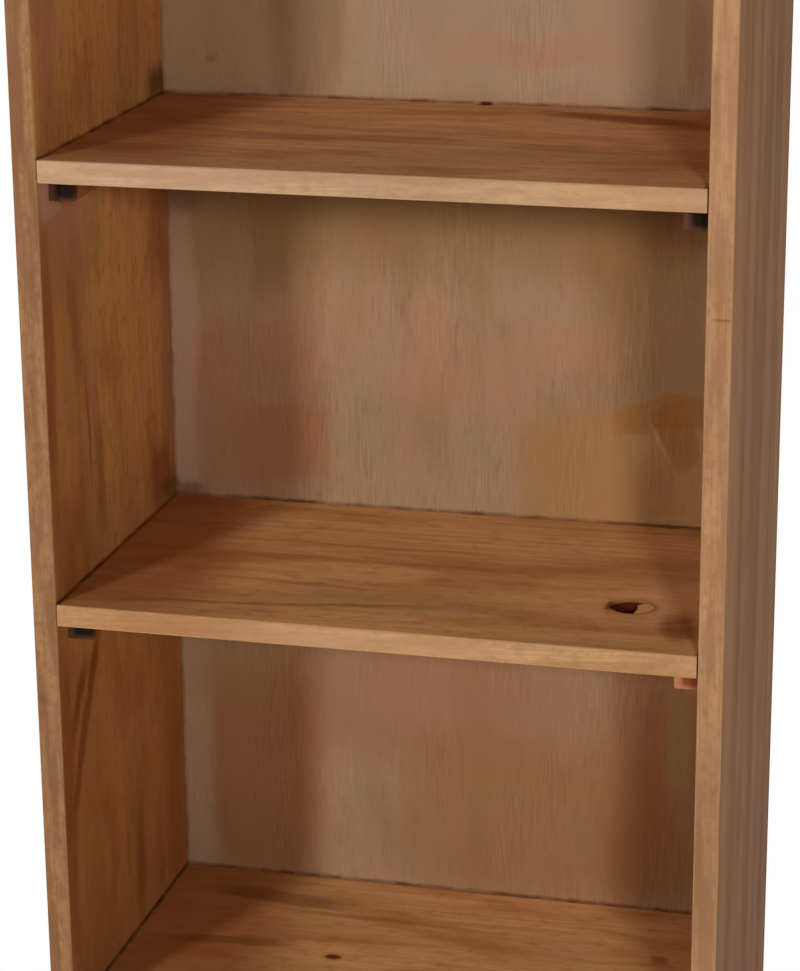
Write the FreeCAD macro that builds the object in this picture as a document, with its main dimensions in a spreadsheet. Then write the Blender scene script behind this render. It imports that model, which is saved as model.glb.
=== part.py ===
"""A stained pine rack for disc cases, as a parametric document in millimetres.

Two plain sides stand on the floor. Their upper ends are housed in the top, and the base is housed in
them. A plywood panel is stapled into rebates at the back. Three loose shelves rest on small cleats
that are screwed to the sides, and pull out to the front. X runs across the rack, Y from its front to
its back, and Z up from the floor; the origin is on the floor, under the middle of the rack's outline.
"""

import FreeCAD
import Part
import Sketcher
import os
import re

# Driving dimensions: name, value and what it measures
SIZES = [
    ("inner_width", "324", "clear width between the sides"),
    ("side_depth", "195", "side board, front edge to back edge"),
    ("side_thickness", "12.5", "side board, planed"),
    ("shelf_thickness", "11.5", "loose shelf, planed"),
    ("shelf_pitch", "226", "top of one shelf to the top of the next"),
    ("shelf_end_gap", "0.5", "play between a loose shelf's end and the side"),
    ("shelf_back_gap", "1", "play between a loose shelf and the back panel"),
    ("base_height", "60", "floor to the top of the base board"),
    ("base_thickness", "12.5", "base board, planed"),
    ("top_thickness", "15", "top board, planed"),
    ("top_overhang", "10", "top board past the sides and their front edges"),
    ("top_nosing", "5", "radius along the top board's upper edge"),
    ("arris", "1.2", "radius that sanding leaves on a board's edge"),
    ("plinth_thickness", "12.5", "plinth board, planed"),
    ("plinth_recess", "8", "plinth board behind the sides' front edges"),
    ("block_leg", "20", "leg of the three-cornered plinth block"),
    ("block_floor_gap", "3", "plinth block above the floor"),
    ("back_thickness", "4", "plywood back panel"),
    ("rebate_width", "6", "back rebate across the edge of a side"),
    ("rebate_height", "6", "back rebate up into the top board"),
    ("panel_gap", "0.25", "play between the back panel's edge and its rebate"),
    ("cleat_width", "13.5", "cleat, out from the side"),
    ("cleat_height", "11.5", "cleat, below the shelf"),
    ("cleat_setback", "15.5", "cleat's ends behind the front edge and before the back panel"),
    ("screw_inset", "28", "cleat screw from the cleat's end"),
    ("screw_length", "20", "cleat screw, head face to tip"),
    ("screw_diameter", "3.5", "cleat screw's shank"),
    ("screw_head", "6.8", "cleat screw's countersunk head"),
    ("recess_span", "3.6", "cross recess in the screw head, tip to tip"),
    ("recess_width", "0.9", "width of one slot of the cross recess"),
    ("recess_depth", "1.2", "depth of the cross recess"),
    ("housing_depth", "5", "housing for the base in a side, and for a side in the top"),
    ("housing_stop", "12", "base housing stopped short of the side's front edge"),
    ("staple_crown", "6", "back panel's staple, outside its legs"),
    ("staple_leg", "16", "back panel's staple, crown to point"),
    ("staple_wire", "1.2", "square wire of the staple"),
    ("staple_margin", "40", "outer staples from the ends of a row"),
    ("hole_clearance", "0.05", "room round a screw or a staple leg in its hole"),
    ("knot_width", "23.5", "knot in the middle shelf, along the grain"),
    ("knot_breadth", "20", "knot in the middle shelf, across the grain"),
    ("knot_stay", "9.5", "part of the knot that stayed in place, at its right end"),
    ("knot_tooth", "1.3", "jag in the broken edge of that part"),
    ("knot_crack", "1.7", "crack behind that part"),
    ("knot_depth", "6", "hole where the rest of the knot fell out"),
    ("knot_across", "119.5", "knot's middle, right of the rack's middle"),
    ("knot_behind", "62", "knot's middle, behind the shelf's front edge"),
    ("chip_across", "16", "chipped edge knot in the upper shelf, right of the middle"),
    ("chip_width", "8", "chipped edge knot along the shelf's back edge"),
    ("chip_depth", "3", "chipped edge knot, down from the shelf's top"),
]

# Places that follow from the driving dimensions
PLACES = [
    ("inner_x", "=inner_width / 2", "inner face of the right side"),
    ("outer_x", "=inner_x + side_thickness", "outer face of the right side"),
    ("front_y", "=(top_overhang - side_depth) / 2", "front edges of the sides"),
    ("back_y", "=front_y + side_depth", "back edges of the sides"),
    ("panel_y", "=back_y - back_thickness", "front face of the back panel"),
    ("under_base", "=base_height - base_thickness", "underside of the base board"),
    ("middle_base", "=base_height - base_thickness / 2", "middle of the base's thickness"),
    ("side_height", "=base_height + 4 * shelf_pitch - shelf_thickness", "floor to the top board"),
    ("side_length", "=side_height + housing_depth", "side board, end to end"),
    ("top_rebate", "=side_height + rebate_height", "upper end of the rebate in the top board"),
    ("middle_rebate", "=(side_height + top_rebate) / 2", "middle of the rebate in the top board"),
    ("plinth_back", "=front_y + plinth_recess + plinth_thickness", "back face of the plinth"),
    ("shelf_length", "=inner_width - 2 * shelf_end_gap", "loose shelf, end to end"),
    ("cleat_front", "=front_y + cleat_setback", "front ends of the cleats"),
    ("cleat_length", "=panel_y - cleat_setback - cleat_front", "cleat, end to end"),
    ("screw_span", "=cleat_length - 2 * screw_inset", "first cleat screw to the last"),
    ("screw_grip", "=screw_length - cleat_width", "cleat screw in the side"),
    ("screw_cone", "=(screw_head - screw_diameter) / 2", "height of the screw's 90 degree head"),
    ("screw_hole", "=screw_diameter + 2 * hole_clearance", "hole for a cleat screw"),
    ("staple_grip", "=staple_leg - back_thickness", "staple in a board"),
    ("staple_hole", "=staple_wire + 2 * hole_clearance", "hole for one leg of a staple"),
    ("staple_x", "=inner_x + rebate_width / 2", "staples down the middle of a side's rebate"),
    ("first_staple", "=base_height + staple_margin", "lowest staple in a side"),
    ("staple_rise", "=side_height - staple_margin - first_staple", "lowest staple to the highest"),
    ("staple_run", "=inner_width - 2 * staple_margin", "first staple across the rack to the last"),
    ("knot_radius", "=(knot_width ^ 2 + knot_breadth ^ 2) / (4 * knot_breadth)", "the knot's two arcs"),
    ("knot_drop", "=knot_radius - knot_breadth / 2", "arc's centre past the knot's middle line"),
    ("knot_edge", "=knot_width / 2 - knot_stay", "broken edge of the knot, right of its middle"),
]

# Sides by their direction along X, and loose shelves by their number above the base board
SIDES = {"left": -1, "right": 1}
SHELVES = {"lower": 1, "middle": 2, "upper": 3}
SCREWS_IN_A_CLEAT = 2
SIDE_STAPLE_COUNT = 6
TOP_STAPLE_COUNT = 3
BASE_STAPLE_COUNT = 3

# Rows of staples: place of the first in X and Z, direction, length of the row and number of staples
STAPLE_ROWS = {
    "left": ("-staple_x", "first_staple", "Z_Axis", "staple_rise", SIDE_STAPLE_COUNT),
    "right": ("staple_x", "first_staple", "Z_Axis", "staple_rise", SIDE_STAPLE_COUNT),
    "top": ("-staple_run / 2", "middle_rebate", "X_Axis", "staple_run", TOP_STAPLE_COUNT),
    "base": ("-staple_run / 2", "middle_base", "X_Axis", "staple_run", BASE_STAPLE_COUNT),
}

COUNTERSINK_ANGLE = 90
SAME_PLACE = 1e-6

ALIASES = {name for name, _, _ in SIZES + PLACES}
doc = FreeCAD.newDocument("disc_case_rack")
pieces = []


def make_sheet():
    """The spreadsheet of sizes and places, one row each."""
    made = doc.addObject("Spreadsheet::Sheet", "Sizes")
    for row, (name, text, note) in enumerate(SIZES + PLACES, 1):
        made.set(f"A{row}", name)
        made.set(f"B{row}", text)
        made.setAlias(f"B{row}", name)
        made.set(f"C{row}", note)
    doc.recompute()
    return made


sheet = make_sheet()


def formula(text):
    """A formula in the sheet's names, as an expression that any object can hold."""
    return re.sub(r"[a-z]\w*", lambda m: f"Sizes.{m[0]}" if m[0] in ALIASES else m[0], text)


def value(text):
    """What a formula comes to."""
    return float(sheet.evalExpression(formula(text)))


def near(number, text):
    """Whether a measured number is the one that a formula gives."""
    return abs(number - value(text)) < SAME_PLACE


def bind(feature, **formulas):
    """Binds properties of a feature to formulas."""
    for name, text in formulas.items():
        feature.setExpression(name, formula(text))


def new_piece(name):
    """An empty body whose label names the piece."""
    body = doc.addObject("PartDesign::Body", name)
    body.Label = name
    pieces.append(body)
    return body


def origin_feature(body, role):
    """One of the body's own origin planes or axes."""
    return next(f for f in body.Origin.OriginFeatures if f.Role == role)


def new_sketch(body, plane, at):
    """A sketch parallel to an origin plane, with its own origin at a point of the rack."""
    sketch = body.newObject("Sketcher::SketchObject", f"{body.Name}_sketch")
    sketch.AttachmentSupport = [(origin_feature(body, plane), "")]
    sketch.MapMode = "FlatFace"
    x, y, z = at
    offset = {"XY_Plane": (x, y, z), "XZ_Plane": (x, z, f"-({y})"), "YZ_Plane": (y, z, x)}[plane]
    for axis, text in zip("xyz", offset):
        sketch.setExpression(f"AttachmentOffset.Base.{axis}", formula(text))
    return sketch


def constrain(sketch, text, kind, *where):
    """A dimension of the sketch that follows a formula."""
    number = sketch.addConstraint(Sketcher.Constraint(kind, *where, value(text)))
    sketch.setExpression(f"Constraints[{number}]", formula(text))


def fix_point(sketch, geometry, point, x, y):
    """Holds a point of the sketch at two formulas from the sketch's origin."""
    constrain(sketch, x, "DistanceX", -1, 1, geometry, point)
    constrain(sketch, y, "DistanceY", -1, 1, geometry, point)


def point_at(x, y):
    """A point of a sketch, where two formulas put it."""
    return FreeCAD.Vector(value(x), value(y), 0)


def join_ends(sketch, first, second):
    """Puts the end of one line or arc at the start of the next."""
    sketch.addConstraint(Sketcher.Constraint("Coincident", first, 2, second, 1))


def draw_outline(sketch, corners):
    """A closed outline of straight lines through corners given as formulas."""
    points = [point_at(x, y) for x, y in corners]
    ends = points[1:] + points[:1]
    lines = [sketch.addGeometry(Part.LineSegment(a, b)) for a, b in zip(points, ends)]
    for line, following in zip(lines, lines[1:] + lines[:1]):
        join_ends(sketch, line, following)
    for line, (x, y) in zip(lines, corners):
        fix_point(sketch, line, 1, x, y)


def draw_rectangle(sketch, low, high):
    """A rectangle between two opposite corners."""
    draw_outline(sketch, [low, (high[0], low[1]), high, (low[0], high[1])])


def draw_circle(sketch, x, y, diameter):
    """A circle held at its centre."""
    circle = Part.Circle(point_at(x, y), FreeCAD.Vector(0, 0, 1), value(diameter) / 2)
    number = sketch.addGeometry(circle)
    fix_point(sketch, number, 3, x, y)
    constrain(sketch, diameter, "Diameter", number)


def pad(body, sketch, length, both_ways=False):
    """Thickens the sketch along its normal, or half each way."""
    feature = body.newObject("PartDesign::Pad", f"{body.Name}_pad")
    feature.Profile = sketch
    feature.SideType = "Symmetric" if both_ways else "One side"
    bind(feature, Length=length)
    doc.recompute()
    return feature


def turn(body, sketch, axis):
    """Turns the sketch round one of its own axes."""
    feature = body.newObject("PartDesign::Revolution", f"{body.Name}_turned")
    feature.Profile = sketch
    feature.ReferenceAxis = (sketch, [axis])
    doc.recompute()
    return feature


def pocket(body, sketch, depth, with_normal=False):
    """Cuts the sketch into the body, against the sketch's normal unless told otherwise."""
    before = body.Shape.Volume
    feature = body.newObject("PartDesign::Pocket", f"{body.Name}_pocket")
    feature.Profile = sketch
    feature.Reversed = with_normal
    bind(feature, Length=depth)
    doc.recompute()
    if body.Shape.Volume >= before:
        raise RuntimeError(f"a pocket in {body.Label} cuts nothing")
    return feature


def countersink(body, sketch, with_normal=False):
    """Bores countersunk screw holes through the body at the sketch's circles."""
    before = body.Shape.Volume
    feature = body.newObject("PartDesign::Hole", f"{body.Name}_countersunk")
    feature.Profile = sketch
    feature.Reversed = with_normal
    feature.ThreadType = "None"
    feature.HoleCutType = "Countersink"
    feature.HoleCutCustomValues = True
    feature.HoleCutCountersinkAngle = COUNTERSINK_ANGLE
    feature.DepthType = "ThroughAll"
    bind(feature, Diameter="screw_hole", HoleCutDiameter="screw_head + 2 * hole_clearance")
    doc.recompute()
    if body.Shape.Volume >= before:
        raise RuntimeError(f"the screw holes in {body.Label} cut nothing")
    return feature


def repeat(body, features, axis, length, count):
    """Repeats features in a straight row, and makes the row the body's result."""
    row = body.newObject("PartDesign::LinearPattern", f"{body.Name}_row")
    row.Originals = features
    row.Direction = (origin_feature(body, axis), [""])
    row.Occurrences = count
    bind(row, Length=length)
    body.Tip = row
    doc.recompute()


def round_edges(body, radius, chosen):
    """Rounds the edges of the body that a test of their bounding boxes picks."""
    base = body.Tip
    names = [f"Edge{i}" for i, edge in enumerate(base.Shape.Edges, 1) if chosen(edge.BoundBox)]
    feature = body.newObject("PartDesign::Fillet", f"{body.Name}_eased")
    feature.Base = (base, names)
    bind(feature, Radius=radius)
    doc.recompute()


def shelf_top(shelf):
    """Height of a loose shelf's upper face, as a formula."""
    return f"(base_height + {SHELVES[shelf]} * shelf_pitch)"


def shelf_underside(shelf):
    """Height of a loose shelf's lower face, as a formula."""
    return f"({shelf_top(shelf)} - shelf_thickness)"


def cut_staple_row(body, row, face, half_lengths, depth):
    """Slots for a row of staples, along each staple's crown and from an upright face to the front."""
    x, z, axis, length, count = STAPLE_ROWS[row]
    slots = new_sketch(body, "XZ_Plane", (x, face, z))
    for low, high in half_lengths:
        corners = [(low, "-staple_hole / 2"), (high, "staple_hole / 2")]
        if axis == "Z_Axis":
            corners = [(across, along) for along, across in corners]
        draw_rectangle(slots, *corners)
    slot = pocket(body, slots, depth, with_normal=True)
    repeat(body, [slot], axis, length, count)


def cut_leg_holes(body, row, face, depth):
    """Holes for both legs of each staple in a row."""
    inside, outside = "staple_crown / 2 - staple_wire - hole_clearance", "staple_crown / 2 + hole_clearance"
    legs = [(f"-({outside})", f"-({inside})"), (inside, outside)]
    cut_staple_row(body, row, face, legs, depth)


def make_side(side):
    """A side board, rebated for the back panel, housed for the base and bored for its fasteners."""
    sign = SIDES[side]
    body = new_piece(f"{side}_side")
    inner, outer = f"{sign} * inner_x", f"{sign} * outer_x"
    rebate = f"{sign} * (inner_x + rebate_width)"
    plan = new_sketch(body, "XY_Plane", ("0", "0", "0"))
    draw_outline(plan, [
        (outer, "front_y"), (inner, "front_y"), (inner, "panel_y"),
        (rebate, "panel_y"), (rebate, "back_y"), (outer, "back_y"),
    ])
    pad(body, plan, "side_length")
    round_edges(body, "arris", lambda box: near(box.ZLength, "side_length") and (
        near(box.YMax, "front_y") or (near(box.YMin, "back_y") and near(box.XMin, outer))))
    housing = new_sketch(body, "YZ_Plane", (inner, "0", "0"))
    draw_rectangle(housing, ("front_y + housing_stop", "under_base"), ("panel_y", "base_height"))
    pocket(body, housing, "housing_depth", with_normal=sign > 0)
    cut_leg_holes(body, side, "panel_y", "staple_grip + hole_clearance")
    for shelf in SHELVES:
        pocket(body, draw_screw_places(body, shelf, inner), "screw_grip + hole_clearance", sign > 0)


def draw_screw_places(body, shelf, face):
    """A sketch of the holes for one cleat's screws, on a side's or a cleat's inner face."""
    holes = new_sketch(body, "YZ_Plane", (face, "cleat_front", shelf_underside(shelf)))
    for along in ("screw_inset", "screw_inset + screw_span"):
        draw_circle(holes, along, "-cleat_height / 2", "screw_hole")
    return holes


def make_top():
    """The top board, with a nosing round it, housings for the sides and a rebate for the back panel."""
    body = new_piece("top_board")
    front, end = "front_y - top_overhang", "outer_x + top_overhang"
    plan = new_sketch(body, "XY_Plane", ("0", "0", "side_height"))
    draw_rectangle(plan, (f"-({end})", front), (end, "back_y"))
    pad(body, plan, "top_thickness")
    for face, radius in (("side_height + top_thickness", "top_nosing"), ("side_height", "arris")):
        round_edges(body, radius, lambda box: near(box.ZMin, face) and near(box.ZMax, face)
                    and not near(box.YMin, "back_y"))
    rebate = new_sketch(body, "XY_Plane", ("0", "0", "side_height"))
    draw_rectangle(rebate, ("-inner_x - rebate_width", "panel_y"), ("inner_x + rebate_width", "back_y"))
    pocket(body, rebate, "rebate_height", with_normal=True)
    for sign in SIDES.values():
        housing = new_sketch(body, "XY_Plane", ("0", "0", "side_height"))
        draw_rectangle(housing, (f"{sign} * inner_x", "front_y"), (f"{sign} * outer_x", "back_y"))
        pocket(body, housing, "housing_depth", with_normal=True)
    cut_leg_holes(body, "top", "panel_y", "staple_grip + hole_clearance")


def make_base():
    """The base board, with a tongue at each end that stops short of the front."""
    body = new_piece("base_board")
    tongue_x, tongue_y = "inner_x + housing_depth", "front_y + housing_stop"
    plan = new_sketch(body, "XY_Plane", ("0", "0", "under_base"))
    draw_outline(plan, [
        ("-inner_x", "front_y"), ("inner_x", "front_y"), ("inner_x", tongue_y), (tongue_x, tongue_y),
        (tongue_x, "panel_y"), (f"-({tongue_x})", "panel_y"), (f"-({tongue_x})", tongue_y),
        ("-inner_x", tongue_y),
    ])
    pad(body, plan, "base_thickness")
    round_edges(body, "arris", lambda box: near(box.XLength, "inner_width") and near(box.YMax, "front_y"))
    cut_leg_holes(body, "base", "panel_y", "staple_grip + hole_clearance")


def make_plinth():
    """The plinth board under the base, set back from the front."""
    body = new_piece("plinth_board")
    plan = new_sketch(body, "XY_Plane", ("0", "0", "0"))
    draw_rectangle(plan, ("-inner_x", "plinth_back - plinth_thickness"), ("inner_x", "plinth_back"))
    pad(body, plan, "under_base")


def make_plinth_block(side):
    """A three-cornered block glued into the corner of plinth, side and base."""
    sign = SIDES[side]
    body = new_piece(f"{side}_plinth_block")
    plan = new_sketch(body, "XY_Plane", (f"{sign} * inner_x", "plinth_back", "block_floor_gap"))
    draw_outline(plan, [("0", "0"), (f"{-sign} * block_leg", "0"), ("0", "block_leg")])
    pad(body, plan, "under_base - block_floor_gap")


def make_back_panel():
    """The plywood panel, with sunk slots for the staples along its four edges."""
    body = new_piece("back_panel")
    edge = "inner_x + rebate_width - panel_gap"
    outline = new_sketch(body, "XZ_Plane", ("0", "back_y", "0"))
    draw_rectangle(outline, (f"-({edge})", "under_base"), (edge, "top_rebate - panel_gap"))
    pad(body, outline, "back_thickness")
    crown = "staple_crown / 2 + hole_clearance"
    for row in STAPLE_ROWS:
        cut_staple_row(body, row, "back_y", [(f"-({crown})", crown)], "staple_wire")
        cut_leg_holes(body, row, "back_y", "back_thickness")


def make_shelf(shelf):
    """A loose shelf, sanded along its front and back edges."""
    body = new_piece(f"{shelf}_shelf")
    section = new_sketch(body, "YZ_Plane", ("0", "0", shelf_underside(shelf)))
    draw_rectangle(section, ("front_y", "0"), ("panel_y - shelf_back_gap", "shelf_thickness"))
    pad(body, section, "shelf_length", both_ways=True)
    round_edges(body, "arris", lambda box: near(box.XLength, "shelf_length"))
    return body


def knot_arc(x):
    """How far the knot's back arc lies behind its middle line, at a place along the grain."""
    return f"(knot_radius ^ 2 - ({x}) ^ 2) ^ 0.5 - knot_drop"


def break_out_knot(body, shelf):
    """The hole where most of a lens-shaped knot fell out, and a crack behind the part that stayed."""
    sketch = new_sketch(body, "XY_Plane", ("knot_across", "front_y + knot_behind", shelf_top(shelf)))
    step, shoulder, crack_end = (f"knot_edge + {share} * knot_stay" for share in (0.25, 0.5, 0.9))
    jags = [
        ("knot_edge + knot_tooth", "0"),
        ("knot_edge", "2 * knot_tooth"),
        (step, f"{knot_arc(step)} - 2 * knot_crack"),
        (shoulder, f"{knot_arc(shoulder)} - knot_crack"),
    ]
    tip = point_at("-knot_width / 2", "0")
    low, high = point_at("knot_edge", f"-({knot_arc('knot_edge')})"), point_at(crack_end, knot_arc(crack_end))
    front, back = point_at("0", "-knot_breadth / 2"), point_at("0", "knot_breadth / 2")
    front_arc = sketch.addGeometry(Part.Arc(tip, front, low))
    corners = [low] + [point_at(x, y) for x, y in jags] + [high]
    broken_edge = [sketch.addGeometry(Part.LineSegment(a, b)) for a, b in zip(corners, corners[1:])]
    back_arc = sketch.addGeometry(Part.Arc(high, back, tip))
    fix_point(sketch, front_arc, 3, "0", "knot_drop")
    fix_point(sketch, back_arc, 3, "0", "-knot_drop")
    for arc in (front_arc, back_arc):
        constrain(sketch, "knot_radius", "Radius", arc)
    constrain(sketch, "knot_edge", "DistanceX", -1, 1, broken_edge[0], 1)
    constrain(sketch, crack_end, "DistanceX", -1, 1, back_arc, 1)
    for line, (x, y) in zip(broken_edge, jags):
        fix_point(sketch, line, 2, x, y)
    outline = [front_arc, *broken_edge, back_arc]
    for line, following in zip(outline, outline[1:] + outline[:1]):
        join_ends(sketch, line, following)
    pocket(body, sketch, "knot_depth")


def chip_back_edge(body, shelf):
    """A half-round chip where a small knot crumbled out of the shelf's back edge."""
    sketch = new_sketch(body, "XY_Plane", ("chip_across", "panel_y - shelf_back_gap", shelf_top(shelf)))
    draw_circle(sketch, "0", "0", "chip_width")
    pocket(body, sketch, "chip_depth")


def make_cleat(shelf, side):
    """A cleat under one end of a shelf, countersunk for its screws."""
    sign = SIDES[side]
    body = new_piece(f"{shelf}_{side}_cleat")
    top = shelf_underside(shelf)
    face = f"{sign} * (inner_x - cleat_width)"
    section = new_sketch(body, "XZ_Plane", ("0", "cleat_front + cleat_length", top))
    draw_rectangle(section, (f"{sign} * inner_x", "-cleat_height"), (face, "0"))
    pad(body, section, "cleat_length")
    round_edges(body, "arris", lambda box: near(box.YLength, "cleat_length") and near(box.XMin, face)
                and near(box.ZMin, f"{top} - cleat_height"))
    countersink(body, draw_screw_places(body, shelf, face), with_normal=sign > 0)


def make_cleat_screws(shelf, side):
    """The countersunk screws that hold one cleat, with cross recesses in their heads."""
    sign = SIDES[side]
    body = new_piece(f"{shelf}_{side}_cleat_screws")
    head = (f"{sign} * (inner_x - cleat_width)", "cleat_front + screw_inset",
            f"{shelf_underside(shelf)} - cleat_height / 2")
    profile = new_sketch(body, "XY_Plane", head)
    draw_outline(profile, [
        ("0", "0"), ("0", "screw_head / 2"), (f"{sign} * screw_cone", "screw_diameter / 2"),
        (f"{sign} * screw_length", "screw_diameter / 2"), (f"{sign} * screw_length", "0"),
    ])
    screw = turn(body, profile, "H_Axis")
    cross = new_sketch(body, "YZ_Plane", head)
    draw_cross(cross, "recess_span / 2", "recess_width / 2")
    recess = pocket(body, cross, "recess_depth", with_normal=sign > 0)
    repeat(body, [screw, recess], "Y_Axis", "screw_span", SCREWS_IN_A_CLEAT)


def draw_cross(sketch, tip, flank):
    """An upright cross, from the tip of one arm round to where it starts."""
    quarter = [(tip, flank), (flank, flank)]
    corners = []
    for _ in range(4):
        corners += quarter
        quarter = [(f"-({y})", x) for x, y in quarter]
    draw_outline(sketch, corners)


def make_staples(row):
    """A row of staples that hold the back panel, crowns flush with its back."""
    body = new_piece(f"{row}_back_staples")
    x, z, axis, length, count = STAPLE_ROWS[row]
    outside, inside = "staple_crown / 2", "(staple_crown / 2 - staple_wire)"
    outline = [
        (f"-{outside}", "0"), (outside, "0"), (outside, "-staple_leg"), (inside, "-staple_leg"),
        (inside, "-staple_wire"), (f"-{inside}", "-staple_wire"), (f"-{inside}", "-staple_leg"),
        (f"-{outside}", "-staple_leg"),
    ]
    if axis == "X_Axis":
        sketch = new_sketch(body, "XY_Plane", (x, "back_y", z))
    else:
        sketch = new_sketch(body, "YZ_Plane", (x, "back_y", z))
        outline = [(depth, along) for along, depth in outline]
    draw_outline(sketch, outline)
    staple = pad(body, sketch, "staple_wire", both_ways=True)
    repeat(body, [staple], axis, length, count)


def check_document():
    """Stops if a feature failed, or if a piece has no sound shape."""
    doc.recompute()
    failed = [thing.Label for thing in doc.Objects if {"Invalid", "Error"} & set(thing.State)]
    unsound = [body.Label for body in pieces if body.Shape.isNull() or not body.Shape.isValid()]
    if failed or unsound:
        raise RuntimeError(f"failed features: {failed}, unsound pieces: {unsound}")


def export_pieces():
    """Writes each piece to a file that its label names."""
    os.makedirs("parts", exist_ok=True)
    for body in pieces:
        body.Shape.exportStep(f"parts/{body.Label}.step")
        print(body.Label, len(body.Shape.Solids), "solids", round(body.Shape.Volume / 1000, 2), "cm3")


for side_name in SIDES:
    make_side(side_name)
    make_plinth_block(side_name)
make_top()
make_base()
make_plinth()
make_back_panel()
for row_name in STAPLE_ROWS:
    make_staples(row_name)
for shelf_name in SHELVES:
    loose_shelf = make_shelf(shelf_name)
    if shelf_name == "middle":
        break_out_knot(loose_shelf, shelf_name)
    if shelf_name == "upper":
        chip_back_edge(loose_shelf, shelf_name)
    for side_name in SIDES:
        make_cleat(shelf_name, side_name)
        make_cleat_screws(shelf_name, side_name)
check_document()
export_pieces()
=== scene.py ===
# %% [markdown]
# # A stained pine rack for disc cases
# Two pine sides, a top and a base make a narrow carcass with a plywood back, and three loose
# shelves lie on small cleats. All of it is stained a warm brown and waxed by hand. The shapes
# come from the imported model, so this lesson is about light and finish: how pine shows its
# rings, how a stain settles into it, and where the planed edges stay pale.

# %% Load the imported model
import math

import bpy
from mathutils import Matrix, Vector


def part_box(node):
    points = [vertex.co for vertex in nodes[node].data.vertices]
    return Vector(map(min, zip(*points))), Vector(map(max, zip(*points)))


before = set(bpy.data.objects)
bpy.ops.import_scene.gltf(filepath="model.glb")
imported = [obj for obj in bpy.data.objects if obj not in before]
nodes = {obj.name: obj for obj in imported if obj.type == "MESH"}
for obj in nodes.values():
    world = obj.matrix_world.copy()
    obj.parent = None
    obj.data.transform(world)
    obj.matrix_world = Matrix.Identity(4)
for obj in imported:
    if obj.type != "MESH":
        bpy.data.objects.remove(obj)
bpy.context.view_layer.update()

# %% [markdown]
# ## The camera
# The picture was taken from the right of the rack and a little above its top, close enough
# that the top and the foot are out of the frame. The angles and the place below were
# worked out from the lines of the boards. A long lens keeps the uprights nearly parallel.

# %% Camera
CAMERA_PLACE = Vector((0.3563, -1.4135, 1.0168))
CAMERA_YAW = 14.42
CAMERA_PITCH = 17.48
CAMERA_ROLL = -0.50
LENS_MM = 110.64
SENSOR_MM = 36

camera = bpy.data.objects.new("camera", bpy.data.cameras.new("camera"))
camera.data.lens = LENS_MM
camera.data.sensor_width = SENSOR_MM
camera.matrix_world = (
    Matrix.Translation(CAMERA_PLACE)
    @ Matrix.Rotation(math.radians(CAMERA_YAW), 4, "Z")
    @ Matrix.Rotation(math.radians(90 - CAMERA_PITCH), 4, "X")
    @ Matrix.Rotation(math.radians(CAMERA_ROLL), 4, "Z")
)
bpy.context.scene.collection.objects.link(camera)
bpy.context.scene.camera = camera
bpy.context.scene.view_settings.view_transform = "Standard"
print("camera at", tuple(round(v, 3) for v in camera.location))

# %% [markdown]
# ## Four small tools
# Every material below is a tree of nodes. One function adds a node, sets what is given as a
# value and links what is given as a socket. One turns a colour as a painter would write it, an
# sRGB hex, into the linear light that a renderer adds up. One lays thin colours over each other,
# as a finisher does, and one starts an empty material.


# %% Nodes and colours
def add(tree, kind, inputs, **settings):
    """Adds a shader node with its settings, its input values and its links."""
    made = tree.nodes.new("ShaderNode" + kind)
    for name, setting in settings.items():
        setattr(made, name, setting)
    for socket, value in inputs.items():
        if isinstance(value, bpy.types.NodeSocket):
            tree.links.new(value, made.inputs[socket])
        else:
            made.inputs[socket].default_value = value
    return made


def linear(hex_colour):
    """An sRGB hex colour as linear red, green, blue and alpha."""
    parts = [int(hex_colour[i:i + 2], 16) / 255 for i in (1, 3, 5)]
    light = [p / 12.92 if p <= 0.04045 else ((p + 0.055) / 1.055) ** 2.4 for p in parts]
    return (*light, 1)


def glaze(tree, skin, layers):
    """Lays colours over a skin, one after another, each as strongly as its amount."""
    for amount, colour in layers:
        tone = linear(colour) if isinstance(colour, str) else colour
        skin = add(tree, "Mix", {0: amount, 6: skin, 7: tone}, data_type="RGBA").outputs[2]
    return skin


def new_material(name):
    """An empty node material, and its tree."""
    material = bpy.data.materials.new(name)
    material.use_nodes = True
    material.node_tree.nodes.clear()
    return material, material.node_tree


print("mid grey", [round(v, 3) for v in linear("#808080")[:3]])

# %% [markdown]
# ## Light and background
# The rack stands on a plain pale floor in front of white. Two soft boxes light it from the front,
# one to each side of the rack, so each side board shades a wedge of every shelf and a strip of the
# back, and light from the warm wood fills those shadows. One more hangs high above, for the floor
# and the top, and one stands behind. A dim even light comes from all round. The background is
# white only to the camera and in reflections, so it adds no light to the wood.

# %% Soft light
WORLD_LIGHT = 0.05
SOFTBOX_TARGET = Vector((0, 0, 0.55))
SOFTBOXES = {
    "left": dict(place=Vector((-1.06, -2.27, 1.30)), size=0.25, watts=33.5),
    "right": dict(place=Vector((0.94, -2.32, 1.30)), size=0.25, watts=29.5),
    "top": dict(place=Vector((0, 0.3, 4.0)), size=0.6, watts=60),
    "back": dict(place=Vector((0, 2.6, 1.5)), size=0.3, watts=40),
}


def seen_directly(tree):
    """1 for rays from the camera, from a reflection or through glass, and 0 for light on the wood."""
    ray = add(tree, "LightPath", {}).outputs
    seen = ray["Is Camera Ray"]
    for kind in ("Is Glossy Ray", "Is Transmission Ray"):
        seen = add(tree, "Math", {0: seen, 1: ray[kind]}, operation="MAXIMUM").outputs[0]
    return seen


world = bpy.data.worlds.new("studio")
bpy.context.scene.world = world
world.use_nodes = True
tree = world.node_tree
tree.nodes.clear()
fill = add(tree, "Background", {"Color": linear("#ffffff"), "Strength": WORLD_LIGHT})
white = add(tree, "Background", {"Color": linear("#ffffff"), "Strength": 1})
sky = add(tree, "MixShader", {0: seen_directly(tree), 1: fill.outputs[0], 2: white.outputs[0]})
add(tree, "OutputWorld", {"Surface": sky.outputs[0]})

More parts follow.
